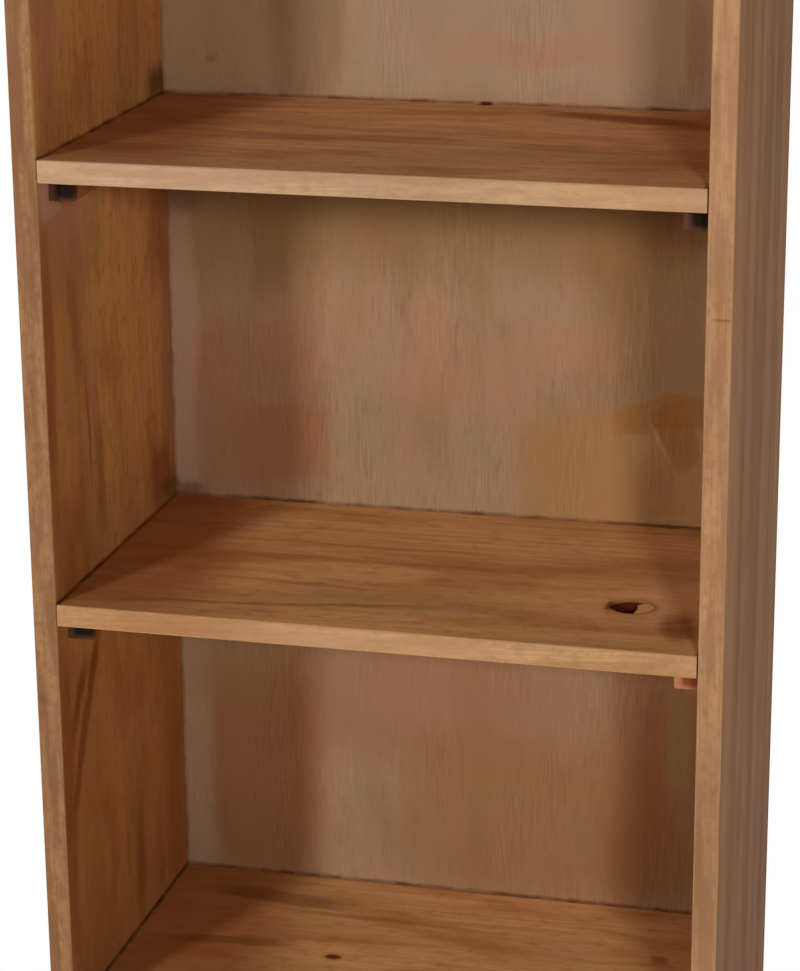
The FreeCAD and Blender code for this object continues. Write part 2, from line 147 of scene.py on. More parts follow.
for side, box in SOFTBOXES.items():
    softbox = bpy.data.objects.new(f"{side}_softbox", bpy.data.lights.new(f"{side}_softbox", "AREA"))
    softbox.data.size = box["size"]
    softbox.data.energy = box["watts"]
    softbox.location = box["place"]
    aim = SOFTBOX_TARGET - box["place"]
    softbox.rotation_euler = aim.to_track_quat("-Z", "Y").to_euler()
    bpy.context.scene.collection.objects.link(softbox)
    print(side, "softbox", box["watts"], "W at", round(aim.length, 2), "m")

# %% [markdown]
# ## The floor
# The floor is a sheet of matt paper. Near the rack it takes the light and keeps the shadow, and
# farther out it goes over into the white background, so that no edge of it shows.

# %% Floor
PAPER = "#f4f3f1"
FLOOR_HALF = 6
SHADOW_NEAR = 0.25
SHADOW_FAR = 0.60

mesh = bpy.data.meshes.new("floor")
corners = [(-1, -1), (1, -1), (1, 1), (-1, 1)]
mesh.from_pydata([(FLOOR_HALF * x, FLOOR_HALF * y, 0) for x, y in corners], [], [(0, 1, 2, 3)])
floor = bpy.data.objects.new("floor", mesh)
bpy.context.scene.collection.objects.link(floor)

paper, tree = new_material("white_backdrop_paper")
place = add(tree, "TexCoord", {}).outputs["Object"]
away = add(tree, "VectorMath", {0: place}, operation="LENGTH").outputs["Value"]
far = add(tree, "MapRange", {0: away, 1: SHADOW_NEAR, 2: SHADOW_FAR}, interpolation_type="SMOOTHSTEP")
blank = add(tree, "Math", {0: far.outputs[0], 1: seen_directly(tree)}, operation="MULTIPLY")
lit = add(tree, "BsdfDiffuse", {"Color": linear(PAPER)})
glow = add(tree, "Emission", {"Color": linear("#ffffff"), "Strength": 1})
both = add(tree, "MixShader", {0: blank.outputs[0], 1: lit.outputs[0], 2: glow.outputs[0]})
add(tree, "OutputMaterial", {"Surface": both.outputs[0]})
mesh.materials.append(paper)
print("floor", 2 * FLOOR_HALF, "m square")

# %% [markdown]
# ## Pine as a solid
# A board is a slice of a log. If the rings are worked out as distances from the heart of the
# log, every face of the board shows what it would show: arches on the broad faces, lines on
# the edges and arcs on the end grain. So each board gets its own place in its own log. The
# years differ in width and darkness, so the bands come from noise over the number of the year.

# %% Streaks and rings
MM = 0.001
TURNS = {"X": (0, 0, 0), "Y": (0, 0, -math.pi / 2), "Z": (0, math.pi / 2, 0)}


def turn_to_grain(point, grain):
    """A point in a board's own axes: along the grain, across it, through it."""
    x, y, z = point
    return Vector({"X": (x, y, z), "Y": (y, -x, z), "Z": (z, y, -x)}[grain])


def drawn_out(tree, log, along_mm, across_mm, detail):
    """A noise drawn out along the grain, with cells of about this length and width."""
    cells = (1 / (along_mm * MM), 1 / (across_mm * MM), 1 / (across_mm * MM))
    scaled = add(tree, "Mapping", {"Vector": log, "Scale": cells}).outputs[0]
    return add(tree, "TexNoise", {"Vector": scaled, "Scale": 1, "Detail": detail}).outputs


def streaks(tree, log, along_mm, across_mm, detail, span, least, most):
    """How strongly streaks of about this size show: least to most, while their noise goes over a span."""
    noise = drawn_out(tree, log, along_mm, across_mm, detail)["Fac"]
    ramp = {0: noise, 1: span[0], 2: span[1], 3: least, 4: most}
    return add(tree, "MapRange", ramp, interpolation_type="SMOOTHSTEP").outputs[0]


def wander(tree, point, log, along_mm, across_mm, reach_mm):
    """Points moved about by up to about this reach, by a noise with cells of this size in the log."""
    noise = drawn_out(tree, log, along_mm, across_mm, 2)["Color"]
    shift = add(tree, "VectorMath", {0: noise, 1: (0.5, 0.5, 0.5)}, operation="SUBTRACT").outputs[0]
    shift = add(tree, "VectorMath", {0: shift, "Scale": 2 * reach_mm * MM}, operation="SCALE").outputs[0]
    return add(tree, "VectorMath", {0: point, 1: shift}, operation="ADD").outputs[0]


def growth_rings(tree, log, ring_mm):
    """How dark the late wood is, 0 to 1: uneven bands round the heart, some ending in a sharp line."""
    bent = wander(tree, log, log, 260, 70, 7)
    bent = wander(tree, bent, bent, 70, 12, 0.9)
    flat = add(tree, "VectorMath", {0: bent, 1: (0, 1, 1)}, operation="MULTIPLY").outputs[0]
    radius = add(tree, "VectorMath", {0: flat}, operation="LENGTH").outputs["Value"]
    years = add(tree, "Math", {0: radius, 1: 1 / (ring_mm * MM)}, operation="MULTIPLY").outputs[0]
    uneven = add(tree, "TexNoise", {"W": years, "Scale": 1.3, "Detail": 2}, noise_dimensions="1D")
    band = {0: uneven.outputs["Fac"], 1: 0.32, 2: 0.7}
    band = add(tree, "MapRange", band, interpolation_type="SMOOTHSTEP").outputs[0]
    part = add(tree, "Math", {0: years}, operation="FRACT").outputs[0]
    rise = add(tree, "MapRange", {0: part, 1: 0.3, 2: 0.88}, interpolation_type="SMOOTHSTEP").outputs[0]
    fall = add(tree, "MapRange", {0: part, 1: 1.0, 2: 0.9}, interpolation_type="SMOOTHSTEP").outputs[0]
    line = add(tree, "Math", {0: rise, 1: fall}, operation="MULTIPLY").outputs[0]
    line = add(tree, "Math", {0: line, 1: band}, operation="MULTIPLY").outputs[0]
    return add(tree, "Mix", {0: 0.5, 2: band, 3: line}).outputs[0]


print("grain turns", sorted(TURNS))

# %% [markdown]
# ## Stains, painted shade and seams
# A stain wiped on by hand gathers where the rag stopped and where the wood drinks more. Some of
# the boxes below are no stain but painted shade and painted light: they deepen or lift the shadows
# that the side boards and shelves cast, and darken corners. Each such place is a box with round
# corners in the wood, found by the fourth power of the distance on each axis. The points are moved
# about by a noise first, so the box gets a ragged, living edge.
# Stains are listed flat, on the plane that they lie on. Corners hold old wax and dust, so a thin
# dark line follows each place where two boards meet. All places are in millimetres.

# %% Stains, painted shade and seams
# Planes of the rack; FRONT lies just under the surface of the front edges
FRONT = -92
BACK_FRONT = 98.5
LEFT_FACE = -162
SHELF_END = 161.5
SHELF_REAR = 97.5
SHELF_TOPS = {"upper_shelf": 738, "middle_shelf": 512, "lower_shelf": 286}
RACK_TOP = 967.5
WOOD_SOAK = 5
SHELF_SOAK = 6
BOARD_DIRT = "#371505"
BACK_DIRT = "#5c2c12"


def on_plane(axis, level, soak, marks):
    """Marks drawn flat on a plane, as stains and painted shade that soak this deep into the wood.

    A mark is a colour, a middle and half sizes in mm on the plane's two axes, a turn in degrees about
    the third, a strength and a softness.
    """
    number = "XYZ".index(axis)
    stains = []
    for colour, middle, halves, turn, strength, soft in marks:
        spot, size, turns = list(middle), list(halves), [0, 0]
        spot.insert(number, level)
        size.insert(number, soak)
        turns.insert(number, turn)
        stains.append((colour, spot, size, turns, strength, soft))
    return stains


def lay_stains_and_shade(tree, skin, place, stains):
    """Lays stains, painted shade and painted light over a skin: colour, middle, half sizes in mm, turns in
    degrees, strength and softness.
    """
    for colour, middle, halves, turns, strength, soft in stains:
        local = add(tree, "Mapping", {
            "Vector": place,
            "Location": [v * MM for v in middle],
            "Rotation": [math.radians(v) for v in turns],
            "Scale": [v * MM for v in halves],
        }, vector_type="TEXTURE").outputs[0]
        squared = add(tree, "VectorMath", {0: local, 1: local}, operation="MULTIPLY").outputs[0]
        away = add(tree, "VectorMath", {0: squared}, operation="LENGTH").outputs["Value"]
        away = add(tree, "Math", {0: away}, operation="SQRT").outputs[0]
        edge = {0: away, 1: 1 + soft / 2, 2: 1 - soft / 2, 3: 0, 4: strength}
        amount = add(tree, "MapRange", edge, interpolation_type="SMOOTHSTEP").outputs[0]
        skin = glaze(tree, skin, [(amount, colour)])
    return skin


def lay_seams(tree, skin, place, seams, dirt):
    """Darkens a skin along corners: an axis, the corner's level on it, a reach in mm and a strength each."""
    grime = streaks(tree, place, 14, 14, 3, (0.35, 0.65), 0.45, 1)
    rough = wander(tree, place, place, 9, 9, 0.8)
    for axis, level, reach, strength in seams:
        value = add(tree, "SeparateXYZ", {0: rough}).outputs[axis]
        away = add(tree, "Math", {0: value, 1: level * MM}, operation="SUBTRACT").outputs[0]
        away = add(tree, "Math", {0: away}, operation="ABSOLUTE").outputs[0]
        soft = {0: away, 1: reach * MM, 2: 0, 3: 0, 4: strength}
        amount = add(tree, "MapRange", soft, interpolation_type="SMOOTHSTEP").outputs[0]
        amount = add(tree, "Math", {0: amount, 1: grime}, operation="MULTIPLY").outputs[0]
        skin = glaze(tree, skin, [(amount, dirt)])
    return skin


print("stains and seams ready")

# %% [markdown]
# ## Knots
# Where a branch grew, the board has a knot, drawn out to a point at both ends along the grain.
# Two equal arcs make that outline, so the distance to it is the larger of the two distances to
# the arcs' centres, less their radius. The grain parts round a knot: near it, the pattern is read
# closer to the knot's middle.

# %% Knots
KNOT_HALO = "#a06a2c"
KNOT_RIM = "#3a1a0c"
KNOT_HOLE = "#4c1c0b"


def knot_outline(tree, place, knot):
    """Distance from a knot's outline, below zero inside it, on a board that lies flat."""
    radius = (knot["long"] ** 2 + knot["broad"] ** 2) / (4 * knot["broad"])
    drop = radius - knot["broad"] / 2
    flat = add(tree, "VectorMath", {0: place, 1: (1, 1, 0)}, operation="MULTIPLY").outputs[0]
    x, y = knot["middle"]
    arcs = []
    for side in (-1, 1):
        centre = (x * MM, (y + side * drop) * MM, 0)
        arcs.append(add(tree, "VectorMath", {0: flat, 1: centre}, operation="DISTANCE").outputs["Value"])
    farther = add(tree, "Math", {0: arcs[0], 1: arcs[1]}, operation="MAXIMUM").outputs[0]
    return add(tree, "Math", {0: farther, 1: radius * MM}, operation="SUBTRACT").outputs[0]


def part_grain(tree, place, knot, outline):
    """Places read nearer to a knot's middle line, so that the grain runs round the knot."""
    near = {0: outline, 1: 1.2 * knot["broad"] * MM, 2: 0}
    near = add(tree, "MapRange", near, interpolation_type="SMOOTHSTEP").outputs[0]
    x, y = knot["middle"]
    offset = add(tree, "VectorMath", {0: place, 1: (x * MM, y * MM, 0)}, operation="SUBTRACT").outputs[0]
    across = add(tree, "VectorMath", {0: offset, 1: (0, 0.6, 0)}, operation="MULTIPLY").outputs[0]
    pull = add(tree, "VectorMath", {0: across, "Scale": near}, operation="SCALE").outputs[0]
    return add(tree, "VectorMath", {0: place, 1: pull}, operation="SUBTRACT").outputs[0]


def paint_knot(tree, skin, place, knot, outline):
    """A golden ring of wood, the knot's own wood with a dark outline, and a dark hole where it fell out."""
    halo = {0: outline, 1: 5 * MM, 2: 0, 3: 0, 4: 0.45}
    halo = add(tree, "MapRange", halo, interpolation_type="SMOOTHSTEP").outputs[0]
    inside = add(tree, "MapRange", {0: outline, 1: 0.2 * MM, 2: -0.4 * MM}).outputs[0]
    rim = add(tree, "Math", {0: outline}, operation="ABSOLUTE").outputs[0]
    rim = add(tree, "MapRange", {0: rim, 1: 1.0 * MM, 2: 0.3 * MM, 3: 0, 4: 0.4}).outputs[0]
    within = add(tree, "MapRange", {0: outline, 1: 0.7 * MM, 2: 0.4 * MM}).outputs[0]
    depth = add(tree, "SeparateXYZ", {0: place}).outputs["Z"]
    top = knot["top"]
    deep = add(tree, "MapRange", {0: depth, 1: (top - 0.2) * MM, 2: (top - 1.5) * MM}).outputs[0]
    hole = add(tree, "Math", {0: deep, 1: within}, operation="MULTIPLY").outputs[0]
    return glaze(tree, skin, [(halo, KNOT_HALO), (inside, knot["wood"]), (rim, KNOT_RIM), (hole, KNOT_HOLE)])


KNOTS = {
    "middle_shelf": [
        dict(middle=(119.5, -30.5), long=23.5, broad=20, top=SHELF_TOPS["middle_shelf"], wood="#cb9a64"),
    ],
    "lower_shelf": [
        dict(middle=(-47, 0), long=9, broad=5, top=SHELF_TOPS["lower_shelf"], wood="#6b3519"),
    ],
    "top_board": [
        dict(middle=(-82, -20), long=14, broad=9, top=RACK_TOP, wood="#6b3519"),
    ],
}
print("knots", sum(len(knots) for knots in KNOTS.values()))

# %% [markdown]
# ## Waxed stained pine
# The real boards are softwood, planed, wiped with a brown spirit stain and rubbed with wax.
# The eye sees a satin brown with darker late-wood lines, fine fibres, reddish and olive clouds
# where the stain lay longer or thinner, and paler front edges that were sanded after it. The
# wax leaves a low sheen.

# %% Faces and edges of a pine board
PINE_IOR = 1.45
PINE_SPECULAR = 0.02
PINE_ROUGHNESS = (0.5, 0.66)
PINE_RELIEF = 0.3
PORE = "#6b4426"
FOOT_SHADE_FROM = 750
FOOT_SHADE_FULL = 200
SHELF_PINE = dict(light="#daa36b", late="#af7644", red="#a46235", olive="#b59059", pink="#ce966e",
                  fibre="#945f31", lined=0.55, fibred=0.2, cloud=(90, 26))
UPPER_PINE = dict(SHELF_PINE, light="#d6a471", late="#ac7648", red="#a16139", olive="#b2915f",
                  pink="#ca9774", fibre="#915f35")
SIDE_PINE = dict(light="#c88e52", late="#a46c3a", red="#9a5a30", olive="#a47e48", pink="#bd845e",
                 fibre="#85521f", lined=0.2, fibred=0.26, cloud=(75, 30))


def pine_face(tree, log, ring_mm, tones):
    """A planed and stained face: its colour, and the late wood and fibres that stand in it."""
    late = growth_rings(tree, log, ring_mm)
    shown = streaks(tree, log, 320, 55, 1, (0.36, 0.62), 0.15, tones["lined"])
    lines = add(tree, "Math", {0: late, 1: shown}, operation="MULTIPLY").outputs[0]
    fibre = streaks(tree, log, 40, 1.1, 2, (0.38, 0.7), 0, tones["fibred"])
    long, broad = tones["cloud"]
    layers = (
        (streaks(tree, log, 1.6 * long, 1.6 * broad, 3, (0.45, 0.68), 0, 0.65), "olive"),
        (lines, "late"),
        (streaks(tree, log, long, broad, 4, (0.46, 0.68), 0, 0.6), "red"),
        (streaks(tree, log, 0.6 * long, 0.7 * broad, 4, (0.48, 0.68), 0, 0.5), "pink"),
        (streaks(tree, log, 140, 4.5, 2, (0.42, 0.7), 0, 0.45 * tones["lined"]), "late"),
        (streaks(tree, log, 9, 6, 3, (0.5, 0.75), 0, 0.4), "red"),
        (fibre, "fibre"),
        (streaks(tree, log, 5, 0.9, 1, (0.62, 0.78), 0, 0.35), "fibre"),
    )
    skin = glaze(tree, linear(tones["light"]), [(amount, tones[tone]) for amount, tone in layers])
    return skin, lines, fibre


def pine_edge(tree, log, edge):
    """A sanded front edge: pale, with soft darker and pinkish patches and fine dark pores.

    The real pores are finer than a picture shows, so they are drawn about three times too large.
    """
    pale, patch, pink = edge
    layers = (
        (streaks(tree, log, 70, 7, 3, (0.42, 0.64), 0, 0.8), patch),
        (streaks(tree, log, 45, 9, 3, (0.47, 0.64), 0, 0.7), pink),
        (streaks(tree, log, 7, 4, 3, (0.46, 0.68), 0, 0.45), patch),
        (streaks(tree, log, 4, 2.4, 3, (0.48, 0.7), 0, 0.4), patch),
        (streaks(tree, log, 50, 1.1, 2, (0.42, 0.68), 0, 0.45), patch),
        (streaks(tree, log, 3.5, 0.9, 1, (0.6, 0.76), 0, 0.16), PORE),
    )
    return glaze(tree, linear(pale), layers)


def outside_bands_and_shade(tree, log, place, face):
    """An outside face: darker and duller, with broad bands along the grain and reddish clouds; partly painted
    shade, darker still towards the foot.
    """
    height = add(tree, "SeparateXYZ", {0: place}).outputs["Z"]
    foot = {0: height, 1: FOOT_SHADE_FROM * MM, 2: FOOT_SHADE_FULL * MM, 3: 0, 4: 0.4}
    foot = add(tree, "MapRange", foot, interpolation_type="SMOOTHSTEP").outputs[0]
    layers = (
        (streaks(tree, log, 150, 30, 2, (0.2, 0.5), 0.55, 0.65), "#976439"),
        (streaks(tree, log, 700, 34, 1, (0.42, 0.62), 0, 0.5), "#623a1d"),
        (streaks(tree, log, 500, 26, 1, (0.46, 0.66), 0, 0.4), "#b5855f"),
        (streaks(tree, log, 40, 12, 4, (0.48, 0.7), 0, 0.25), "#84554a"),
        # painted shade, darker towards the foot
        (foot, "#5c341a"),
    )
    return glaze(tree, face, layers)


print("pine tones", SHELF_PINE["light"], SIDE_PINE["light"])

# %% [markdown]
# Each board is sawn from a log of its own. Its middle is moved to the origin and its grain turned
# to one axis, and then the heart of the log is set beside it, a little aslant. On the rounded
# arrises no axis is fully faced, and that is enough to find them. Those at the front are glazed
# pale, partly where hands and cases wore them and partly as a painted highlight.

# %% A board in its log, and its worn and highlighted arrises
END_GRAIN = "#6b4426"
LOG_SPACING = 0.7
STAINS_AND_SHADE = {}
MARKS_AND_SHADE = {}
SEAMS = {}


def place_in_log(tree, place, board, number, grain, heart, lean):
    """Where each point of a board was in its log: along the heart, and the two ways across from it."""
    low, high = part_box(board)
    middle = turn_to_grain((low + high) / 2, grain)
    turned = add(tree, "Mapping", {"Vector": place, "Rotation": TURNS[grain], "Location": -middle})
    return add(tree, "Mapping", {
        "Vector": turned.outputs[0],
        "Location": (LOG_SPACING * number, -heart[0] * MM, -heart[1] * MM),
        "Rotation": (0, math.radians(lean[1]), math.radians(lean[0])),
    }).outputs[0]


def arris_wear_and_highlight(tree, log, backward, most):
    """How pale the front arrises are painted, in patches: partly wax and stain rubbed off, partly a painted
    highlight.

    backward is how far the surface faces the back, and most is the largest part of its direction on
    any axis, which is 1 on the flat faces.
    """
    wear_and_highlight = streaks(tree, log, 25, 6, 3, (0.35, 0.6), 0.2, 0.7)
    arris = add(tree, "MapRange", {0: most, 1: 0.99, 2: 0.9}).outputs[0]
    reached = add(tree, "MapRange", {0: backward, 1: 0, 2: -0.3}).outputs[0]
    for part in (arris, reached):
        wear_and_highlight = add(tree, "Math", {0: wear_and_highlight, 1: part}, operation="MULTIPLY").outputs[0]
    return wear_and_highlight


print("logs", LOG_SPACING, "m apart")

# %% [markdown]
# A board's material looks at the way each face points. Front edges get the sanded look, the
# ends across the grain a darker one, because end grain drinks more stain, and an outside face a
# darker, duller one, with bands along the grain and partly painted shade, darkest towards its foot.
# Last come the marks, the arrises, worn and painted pale as a highlight, and the knots.


# %% Waxed pine
def waxed_pine(board, number, grain, heart, ring, tones, edge, lean=(0, 0), end=END_GRAIN, outward=None):
    """One board's stained pine, cut from its own log.

    heart is the log's heart from the board's middle, across and through the board, in mm, and lean
    is how far the heart leans across and through it, in degrees. outward is the way that an outside
    face points, where the board has one.
    """
    material, tree = new_material(f"waxed_pine_{board}")
    coordinates = add(tree, "TexCoord", {}).outputs
    place = coordinates["Object"]
    normal = coordinates["Normal"]
    knots = [(knot, knot_outline(tree, place, knot)) for knot in KNOTS.get(board, ())]
    parted = place
    for knot, outline in knots:
        parted = part_grain(tree, parted, knot, outline)
    log = place_in_log(tree, parted, board, number, grain, heart, lean)
    face, lines, fibre = pine_face(tree, log, ring, tones)
    ragged = wander(tree, place, log, 60, 20, 6)
    ragged = wander(tree, ragged, log, 14, 4, 1.5)
    skin = lay_stains_and_shade(tree, face, ragged, STAINS_AND_SHADE.get(board, ()))
    skin = lay_seams(tree, skin, place, SEAMS.get(board, ()), BOARD_DIRT)
    # outside faces: bands along the grain, partly painted shade
    if outward:
        out = add(tree, "VectorMath", {0: normal, 1: outward}, operation="DOT_PRODUCT").outputs["Value"]
        out = add(tree, "MapRange", {0: out, 1: 0.7, 2: 0.9}).outputs[0]
        outside_look = outside_bands_and_shade(tree, log, place, face)
        skin = glaze(tree, skin, [(out, outside_look)])
    axes = add(tree, "SeparateXYZ", {0: normal}).outputs
    front = {0: axes["Y"], 1: -0.3, 2: -0.8}
    front = add(tree, "MapRange", front, interpolation_type="SMOOTHSTEP").outputs[0]
    sanded = pine_edge(tree, log, edge)
    sizes = add(tree, "VectorMath", {0: normal}, operation="ABSOLUTE").outputs[0]
    sizes = add(tree, "SeparateXYZ", {0: sizes}).outputs
    ends = add(tree, "MapRange", {0: sizes[grain], 1: 0.8, 2: 0.95, 4: 0.75}).outputs[0]
    skin = glaze(tree, skin, [(front, sanded), (ends, end)])
    skin = lay_stains_and_shade(tree, skin, place, MARKS_AND_SHADE.get(board, ()))
    most = add(tree, "Math", {0: sizes["X"], 1: sizes["Y"]}, operation="MAXIMUM").outputs[0]
    most = add(tree, "Math", {0: most, 1: sizes["Z"]}, operation="MAXIMUM").outputs[0]
    # the front arrises are glazed pale: partly wear, partly a painted highlight
    skin = glaze(tree, skin, [(arris_wear_and_highlight(tree, log, axes["Y"], most), edge[0])])
    for knot, outline in knots:
        skin = paint_knot(tree, skin, place, knot, outline)

    smooth, rough = PINE_ROUGHNESS
    dull = add(tree, "MapRange", {0: fibre, 1: 0, 2: tones["fibred"], 3: smooth, 4: rough}).outputs[0]
    bare = add(tree, "MapRange", {0: most, 1: 0.9999, 2: 0.998}).outputs[0]
    dull = add(tree, "Mix", {0: bare, 2: dull, 3: 1}).outputs[0]
    relief = add(tree, "Math", {0: lines, 1: fibre}, operation="SUBTRACT").outputs[0]
    bump = add(tree, "Bump", {"Height": relief, "Strength": 0.15, "Distance": PINE_RELIEF * MM})
    shader = add(tree, "BsdfPrincipled", {
        "Base Color": skin,
        "Roughness": dull,
        "IOR": PINE_IOR,
        "Specular IOR Level": PINE_SPECULAR,
        "Normal": bump.outputs[0],
    })
    add(tree, "OutputMaterial", {"Surface": shader.outputs[0]})
    return material


def dress(node_name, material):
    """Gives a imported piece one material."""
    slots = nodes[node_name].data.materials
    slots.clear()
    slots.append(material)


print("waxed pine ready")

# %% [markdown]
# ## What each board has been through, and where shade is painted
# The places below are measured on the rack, in millimetres. The left side has two dark slanting
# streaks where a branch once ran beside the board, a fine crack and redder bands towards both
# edges. Each shelf has a few darker streaks along its grain. The slanted boxes at the ends of each
# shelf are painted shade that deepens the wedges of shadow the side boards cast; the one at the
# right end of the middle shelf is painted light that lifts its wedge. The marks on the front edges
# and inside a chip or a hole are small, so they keep their place exactly, without a ragged edge.
# The dark ones in the chip and along the gap behind a shelf are painted shade.

# %% Stains and painted shade of the boards
STAINS_AND_SHADE["left_side"] = on_plane("X", LEFT_FACE, WOOD_SOAK, [
    ("#522008", (-46, 455), (4.6, 24), -29, 0.95, 1.1),
    ("#522008", (-68, 418), (4.6, 26), -24, 0.9, 1.2),
    ("#522008", (-66, 450), (4.6, 19), -38, 0.95, 1.1),
    ("#5f3416", (-36, 592), (1.4, 34), 5, 0.5, 1.2),
    ("#8a4a2c", (84, 668), (18, 30), 0, 0.6, 1.0),
    ("#96604a", (92, 610), (10, 60), 0, 0.5, 1.0),
    ("#bd8f74", (-54, 698), (26, 8), 0, 0.5, 1.2),
    ("#8a4a2c", (-76, 540), (18, 22), 0, 0.5, 1.0),
    ("#7a3c20", (76, 532), (14, 16), 0, 0.6, 1.0),
    ("#96564a", (-74, 795), (12, 50), 0, 0.45, 1.0),
    ("#8a5022", (0, 380), (110, 120), 0, 0.5, 1.0),
    ("#8a5022", (-74, 620), (40, 120), 0, 0.4, 1.0),
    ("#8a5022", (-74, 380), (40, 110), 0, 0.3, 1.0),
    ("#8f4c2a", (82, 360), (16, 90), 0, 0.5, 1.0),
    ("#7a3c1e", (-86, 400), (9, 90), 0, 0.6, 1.0),
    ("#96604c", (-58, 688), (36, 28), 0, 0.35, 1.0),
    ("#7a3c1e", (-87, 630), (7, 70), 0, 0.5, 1.0),
    ("#6b3f1c", (-20, 558), (6, 32), 4, 0.45, 1.1),
    ("#6b3f1c", (-50, 646), (5, 26), 4, 0.4, 1.1),
    ("#6b3f1c", (20, 330), (6, 34), 0, 0.4, 1.1),
    ("#b08878", (-85, 717), (5, 11), 0, 0.6, 0.9),
    ("#b08878", (-74, 709), (12, 4), 0, 0.5, 1.0),
    # dark smudges in the back corner above each shelf: partly dirt, partly painted shade
    ("#3a1c0c", (92, 744), (16, 8), 0, 0.7, 1.4),
    ("#3a1c0c", (90, 518), (16, 7), 0, 0.45, 1.4),
])
MARKS_AND_SHADE["left_side"] = on_plane("Y", FRONT, WOOD_SOAK, [
    ("#5a3a26", (-170, 460), (4, 2), 30, 0.3, 1.2),
    ("#7a6048", (-169, 425), (3, 8), 0, 0.35, 1.4),
])
MARKS_AND_SHADE["right_side"] = on_plane("Y", FRONT, WOOD_SOAK, [
    ("#b8906e", (168, 800), (10, 80), 0, 0.15, 1.2),
    ("#8f6747", (168, 699), (7, 8), 35, 0.4, 1.2),
    ("#7a5230", (164, 780), (2, 14), 0, 0.35, 1.4),
    ("#8a6040", (168, 560), (4, 16), 0, 0.35, 1.4),
    ("#7d5738", (168, 420), (8, 60), 0, 0.45, 1.4),
    ("#5a3a22", (170, 677), (4, 0.6), 0, 0.5, 0.9),
])
STAINS_AND_SHADE["upper_shelf"] = on_plane("Z", SHELF_TOPS["upper_shelf"], SHELF_SOAK, [
    # painted shade: deepens the wedge of shadow that the left side board casts on the shelf
    ("#84461e", (-158, 20), (54, 120), 10, 0.65, 0.8),
    # painted shade: deepens the wedge of shadow that the right side board casts on the shelf
    ("#94582a", (165, 20), (46, 120), -10, 0.4, 1.2),
    ("#9a6244", (-40, -8), (62, 9), 2, 0.5, 1.1),
    ("#9a5a30", (72, -12), (22, 8), 0, 0.4, 1.1),
    ("#7d4218", (98, 68), (44, 8), -14, 0.75, 1.1),
])
MARKS_AND_SHADE["upper_shelf"] = on_plane("Z", SHELF_TOPS["upper_shelf"], SHELF_SOAK, [
    # painted shade inside the chip in the upper shelf's rear edge
    ("#241006", (16, 96.2), (4, 2.4), 0, 1.0, 0.7),
]) + on_plane("Y", FRONT, WOOD_SOAK, [
    ("#d2b898", (-110, 732), (60, 6), 0, 0.1, 1.2),
    ("#b07c48", (120, 732), (50, 6), 0, 0.2, 1.2),
])
STAINS_AND_SHADE["middle_shelf"] = on_plane("Z", SHELF_TOPS["middle_shelf"], SHELF_SOAK, [
    # painted shade: deepens the wedge of shadow that the left side board casts on the shelf
    ("#84400f", (-158, 20), (54, 120), 10, 0.7, 0.8),
    # painted light: lifts the wedge of shadow that the right side board casts on the shelf
    ("#d8a878", (165, 40), (40, 80), -10, 0.35, 1.2),
    ("#8c5426", (-60, -66), (95, 2.4), 9, 0.55, 1.2),
    ("#94602f", (-60, -33), (34, 2.4), -3, 0.5, 1.2),
    ("#94602f", (-40, 6), (110, 3.4), 1, 0.45, 1.2),
    ("#94602f", (-30, 30), (60, 2), 0, 0.4, 1.2),
    ("#6b3418", (147, -54), (8, 18), 15, 0.7, 1.1),
    ("#9a5e34", (108, 20), (34, 16), 0, 0.35, 1.2),
    ("#b07a2c", (116, -48), (10, 4), 0, 0.35, 1.2),
])
MARKS_AND_SHADE["middle_shelf"] = on_plane("Y", FRONT, WOOD_SOAK, [
    ("#c6a078", (0, 506), (64, 6), 0, 0.2, 1.2),
    ("#9a6238", (-110, 506), (52, 6), 0, 0.3, 1.2),
]) + on_plane("Z", SHELF_TOPS["middle_shelf"], WOOD_SOAK, [
    ("#2a1006", (108.2, -31), (1.8, 6), 0, 0.85, 1.0),
    # painted shade: a dark line along the gap behind the middle shelf's rear edge
    ("#3a1606", (122, 97), (24, 0.8), -1, 0.6, 0.8),
])
STAINS_AND_SHADE["lower_shelf"] = on_plane("Z", SHELF_TOPS["lower_shelf"], SHELF_SOAK, [
    # painted shade: deepens the wedge of shadow that the left side board casts on the shelf
    ("#824419", (-150, 20), (66, 120), 10, 0.7, 0.9),
    ("#6b3f1a", (-108, 6), (30, 6), 6, 0.6, 0.9),
    ("#6b3f1a", (-96, 66), (40, 7), -4, 0.5, 0.9),
    # painted shade: deepens the wedge of shadow that the right side board casts on the shelf
    ("#94582a", (165, 20), (46, 120), -10, 0.4, 1.2),
    ("#94602f", (-30, 50), (60, 2.4), -2, 0.5, 1.2),
    ("#94602f", (-40, 22), (50, 3), 6, 0.35, 1.2),
    ("#5f2d12", (127, 36), (4, 5), 0, 0.5, 1.2),
    ("#8c5426", (110, 90), (24, 7), 0, 0.5, 1.2),
])
for board in ("left_side", "right_side"):
    SEAMS[board] = [("Y", BACK_FRONT, 1.6, 0.5)] + [("Z", top, 1.8, 0.8) for top in SHELF_TOPS.values()]
for shelf in SHELF_TOPS:
    SEAMS[shelf] = [("X", -SHELF_END, 2.4, 0.9), ("X", SHELF_END, 2.4, 0.8), ("Y", SHELF_REAR, 2, 0.8)]
print("stains", {board: len(stains) for board, stains in STAINS_AND_SHADE.items()})

# %% [markdown]
# ## The boards
# Shelves, top and base have their grain across the rack, and the sides have it upright. Each board
# gets its own heart, in millimetres from its middle, so no two show the same arches. A small lean of
# the heart makes the lines run out of the face now and then, as they do in sawn softwood.

